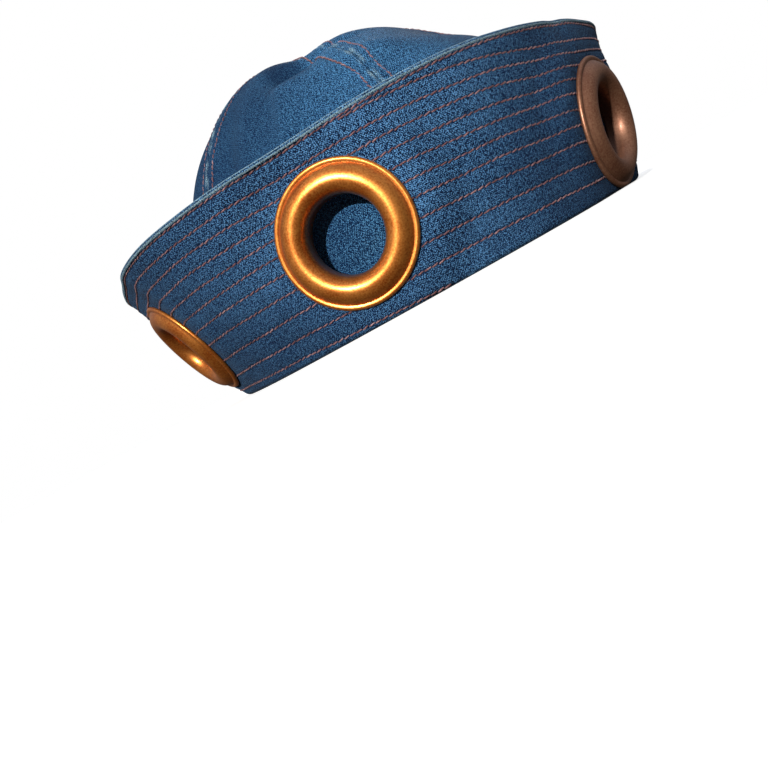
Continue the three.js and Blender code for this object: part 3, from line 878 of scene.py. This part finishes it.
def sewStitches(name, path, outs):
    # copies the stitch along a list of lines: each line is points and the ways out of the cloth;
    # slant, length and thickness drift from stitch to stitch
    shape, walls, ends = stitchShape()
    places, alongs, ups = [], [], []
    for line, out in zip(path, outs):
        run = runLength(line)
        count = int(run[-1] / stitching["pitch"])
        at = (np.arange(count) + 0.5) * run[-1] / max(count, 1)
        places.append(readAlong(run, line, at))
        alongs.append(unit(readAlong(run, line, at + 0.5) - readAlong(run, line, at - 0.5)))
        ups.append(unit(readAlong(run, out, at)))
    places, alongs, ups = (np.concatenate(parts) for parts in (places, alongs, ups))
    sides = unit(np.cross(ups, alongs))
    order = np.arange(len(places))
    slant = stitching["slant"] * (1 + 0.5 * np.sin(order * 1.7))
    alongs = unit(alongs + slant[:, None] * sides)
    sides = np.cross(ups, alongs)
    long = stitching["length"] * (1 + 0.07 * np.sin(order * 2.9))
    radius = stitching["radius"] * (1 + 0.08 * np.sin(order * 0.7 + 1))
    places = places + stitching["above"] * ups
    points = (places[:, None] + shape[None, :, :1] * long[:, None, None] * alongs[:, None]
              + shape[None, :, 1:2] * radius[:, None, None] * sides[:, None]
              + shape[None, :, 2:] * radius[:, None, None] * ups[:, None])
    offset = (np.arange(len(places)) * len(shape))[:, None, None]
    quads = (walls[None] + offset).reshape(-1, 4)
    triangles = (ends[None] + offset).reshape(-1, 3)
    piece = makePiece(name, points.reshape(-1, 3), [quads, triangles], rustThread)
    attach(piece, "root")
    print(name, len(places), "stitches")


def cuffRow(angle, height, depth, passed, face):
    # a line of points on the cuff's cloth, and the ways out of it on the wanted face
    steps = ((0, 0), (1e-3, 0), (0, 0.3), (0, -0.3))
    here, ahead, above, below = (cuffSurface(angle + turn, height + rise, depth, passed)[0]
                                 for turn, rise in steps)
    return here, unit(np.cross(ahead - here, above - below)) * face


def cuffLines(depth, face):
    # the spiral and the closed row under the hem, broken off where an eyelet covers them
    turns = np.linspace(0.002, turnsSewn, stitching["spiralPoints"])
    angle = np.radians(stitching["startAngle"]) - 2 * np.pi * turns
    rows = [(angle, rowHeight(turns, angle), turns % 1)]
    around = np.linspace(0, 1, stitching["topPoints"])
    angle = np.radians(stitching["startAngle"]) - 2 * np.pi * around
    rows.append((angle, cuffHeight(angle) - stitching["topRow"], around))
    lines, outs = [], []
    for angle, height, passed in rows:
        points, out = cuffRow(angle, height, np.full(len(angle), depth), passed, face)
        clear = nearestEyelet(points) > eyeletSeat["frontClear" if face > 0 else "backClear"]
        breaks = np.flatnonzero(np.diff(clear.astype(int)) != 0) + 1
        for part, outPart, keep in zip(*(np.split(values, breaks) for values in (points, out, clear))):
            if keep[0] and len(part) > stitching["fewestPoints"]:
                lines.append(part)
                outs.append(outPart)
    return lines, outs


sewStitches("cuffStitches", *cuffLines(0.0, 1))
sewStitches("facingStitches", *cuffLines(cuff["facingDepth"], -1))


def crownLines():
    # two rows beside every seam of the crown, from the fold to near where the seams meet; the one
    # between the second seam and the pocket strays from its seam higher up
    lines, outs = [], []
    way = np.linspace(crown["rowFrom"], crown["rowTo"], crown["rowPoints"])
    lift = np.full(len(way), crown["seamLift"] - crown["rowSunk"])
    stray = crown["strayRow"] * smoothStep(crown["strayFrom"], crown["strayTo"], way)
    for seam in range(crown["gores"]):
        for side in (-1, 1):
            angle = np.radians(crown["firstSeam"] + 360 / crown["gores"] * seam) * np.ones(len(way))
            step = plainCrown(angle + 1e-3, way) - plainCrown(angle, way)
            radius = np.linalg.norm(step, axis=-1) / 1e-3
            wander = 0.22 * np.sin(way * 31 + seam) + 0.15 * np.sin(way * 67 + 2 * seam)
            strayed = stray if (seam, side) == (1, -1) else 0
            offset = (crown["stitchRow"] + strayed + wander) / np.maximum(radius, 1)
            angle = angle + side * offset
            lines.append(crownSurface(angle, way, lift))
            outs.append(crownOut(angle, way))
    return lines, outs


sewStitches("crownStitches", *crownLines())
print("stitches made")

# Eyelets

# each corner of the pressed front: radius and height above the cloth, and how dark its patina is
frontProfile = np.array([
    (14.0, -5.2, 0.9), (14.0, -2.0, 0.8), (14.05, 0.2, 0.6), (14.4, 1.7, 0.45), (15.2, 3.2, 0.30),
    (16.5, 4.4, 0.12), (18.4, 5.0, 0.0), (20.3, 4.8, 0.0), (21.9, 4.05, 0.12), (23.1, 2.95, 0.20),
    (23.7, 2.25, 0.25), (24.1, 1.78, 0.50), (24.25, 1.70, 0.50), (24.45, 1.80, 0.05), (25.3, 1.90, 0.0),
    (25.95, 1.5, 0.0), (26.15, 0.8, 0.1), (25.9, 0.25, 0.4), (25.2, 0.15, 0.5),
])
# the same for the front's hollow underside and for the ring that closes it from behind
frontUnder = np.array([
    (23.5, 0.5, 0.5), (21.6, 2.2, 0.5), (18.4, 4.2, 0.5), (15.9, 2.9, 0.5), (15.0, 0.4, 0.5),
    (15.0, -5.2, 0.5),
])
backProfile = np.array([
    (15.3, -3.35, 0.5), (15.3, -4.5, 0.4), (15.7, -4.85, 0.1), (17.5, -4.95, 0.0), (19.6, -4.85, 0.0),
    (21.2, -4.4, 0.1), (22.2, -3.8, 0.2), (22.5, -3.45, 0.4), (22.2, -3.3, 0.5), (19.0, -3.3, 0.5),
])


def smoothLine(corners, each):
    # the profile through its corners, with so many points for each of them
    last = len(corners) - 1
    return curveThrough(corners, np.linspace(0, last, last * each + 1))


def turnedPiece(name, parts, seat, sides, finish, node):
    # the profile turned about the eyelet's own axis: centre + r (around cos t + up sin t) + h axis;
    # one that runs the other way has its faces turned over
    line = np.concatenate(parts)
    turn = np.linspace(0, 2 * np.pi, sides, endpoint=False)
    turns, corners = np.meshgrid(turn, np.arange(len(line)), indexing="ij")
    radius, height = line[corners, 0][..., None], line[corners, 1][..., None]
    ring = np.cos(turns)[..., None] * seat["around"] + np.sin(turns)[..., None] * seat["up"]
    points = seat["centre"] + radius * ring + height * seat["axis"]
    count = len(line)
    c, r = np.meshgrid(np.arange(sides) * count, np.arange(count), indexing="ij")
    nextC, nextR = (c + count) % (sides * count), (r + 1) % count
    cells = np.stack([c + r, nextC + r, nextC + nextR, c + nextR], -1).reshape(-1, 4)
    area = np.sum(line[:, 0] * np.roll(line[:, 1], -1) - np.roll(line[:, 0], -1) * line[:, 1])
    if area < 0:
        cells = cells[:, ::-1]
    marks = {"recess": line[corners, 2].ravel()}
    piece = makePiece(name, points.reshape(-1, 3), [cells], finish, marks=marks)
    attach(piece, "root")
    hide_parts(node)


# the second eyelet, at the right, takes a darker, greyer copy of the copper: painted shade for the
# eyelet that lies out of the light
for number, seat in enumerate(seats, 1):
    turnedPiece(f"eyelet{number}", [smoothLine(frontProfile, 4), smoothLine(frontUnder, 2)], seat, 144,
                shadedCopper if number == 2 else copper, f"eyelet_{number}")
    turnedPiece(f"eyeletBack{number}", [smoothLine(backProfile, 3)], seat, 96,
                dullMetal, f"eyelet_back_{number}")
print("eyelets made")

# Floor, backdrop and light

studio = {
    "sides": 96,
    "floorTone": 0.5, "floorGlow": 0.66,
    "floorRadii": (0.01, 60, 150, 400, 1500, 6000), "floorLevels": (-0.05,) * 6,
    "wallTone": 0.0, "wallGlow": 1.0,
    "wallRadii": (5000, 6500, 7500, 8000, 8000), "wallLevels": (-0.04, 300, 1200, 3000, 9000),
    "skyAbove": (0.42, 0.45, 0.50),
    "skyLevel": (0.11, 0.11, 0.11),
    "skyBelow": (0.05, 0.04, 0.03),
    "sunFrom": (-0.335, -0.85, 0.375), "sunTone": (1.0, 0.97, 0.90),
    "sunStrength": 4.1, "sunSize": 2.0,
    "rimFrom": (0.30, 0.85, 0.55), "rimTone": (0.92, 0.96, 1.0),
    "rimStrength": 1.0, "rimSize": 20.0,
}


def stageMaterial(name, tone, glow):
    # a dull surface that also glows by itself
    n = Nodes(name)
    n.fix({"Base Color": (tone, tone, tone, 1), "Roughness": 0.9, "Specular IOR Level": 0.0,
           "Emission Color": (1, 1, 1, 1), "Emission Strength": glow})
    return n.material


def stageSurface(name, radii, heights, finish):
    # rings of the given radius and height round the hat's middle, seen by the camera alone
    turn = np.linspace(0, 2 * np.pi, studio["sides"], endpoint=False)
    turns, reach = np.meshgrid(turn, radii, indexing="ij")
    levels = np.repeat(np.array(heights)[None], studio["sides"], 0)
    points = np.stack([reach * np.cos(turns), reach * np.sin(turns), levels], -1) + hatMiddle
    faces = gridFaces(studio["sides"], len(radii), closed=True, flip=True)
    piece = makePiece(name, points.reshape(-1, 3), [faces], finish)
    piece.visible_diffuse = piece.visible_glossy = piece.visible_shadow = False


paleFloor = stageMaterial("paleFloor", studio["floorTone"], studio["floorGlow"])
paleWall = stageMaterial("paleWall", studio["wallTone"], studio["wallGlow"])
stageSurface("floor", studio["floorRadii"], studio["floorLevels"], paleFloor)
stageSurface("backdrop", studio["wallRadii"], studio["wallLevels"], paleWall)


def makeSky():
    # an open sky by height alone: dark below, grey level with the hat and lighter above
    world = bpy.data.worlds.new("studioAir")
    world.use_nodes = True
    nodes, links = world.node_tree.nodes, world.node_tree.links
    direction = nodes.new("ShaderNodeTexCoord")
    axes = nodes.new("ShaderNodeSeparateXYZ")
    level = nodes.new("ShaderNodeMapRange")
    level.inputs["From Min"].default_value = -1
    band = nodes.new("ShaderNodeValToRGB")
    band.color_ramp.elements.new(0.5)
    stops = ((0.3, "skyBelow"), (0.52, "skyLevel"), (0.9, "skyAbove"))
    for element, (place, tone) in zip(band.color_ramp.elements, stops):
        element.position = place
        element.color = (*studio[tone], 1)
    links.new(direction.outputs["Generated"], axes.inputs[0])
    links.new(axes.outputs["Z"], level.inputs["Value"])
    links.new(level.outputs[0], band.inputs["Fac"])
    links.new(band.outputs["Color"], nodes["Background"].inputs["Color"])
    bpy.context.scene.world = world


def addSun(name, fromWay, strength, size, tone):
    # a sun that shines from the given way; size is how wide it looks, in degrees
    lamp = bpy.data.lights.new(name, "SUN")
    lamp.energy = strength
    lamp.angle = np.radians(size)
    lamp.color = tone
    holder = bpy.data.objects.new(name, lamp)
    ahead = -unit(np.array(fromWay, dtype=float))
    right = unit(np.cross(ahead, (0.0, 0.0, 1.0)))
    turn = Matrix([list(row) for row in np.stack([right, np.cross(right, ahead), -ahead], 1)])
    holder.matrix_world = turn.to_4x4()
    bpy.context.collection.objects.link(holder)


makeSky()
addSun("keyLight", studio["sunFrom"], studio["sunStrength"], studio["sunSize"], studio["sunTone"])
addSun("backLight", studio["rimFrom"], studio["rimStrength"], studio["rimSize"], studio["rimTone"])
bpy.context.scene.view_settings.view_transform = "Standard"
print("stage and light ready")
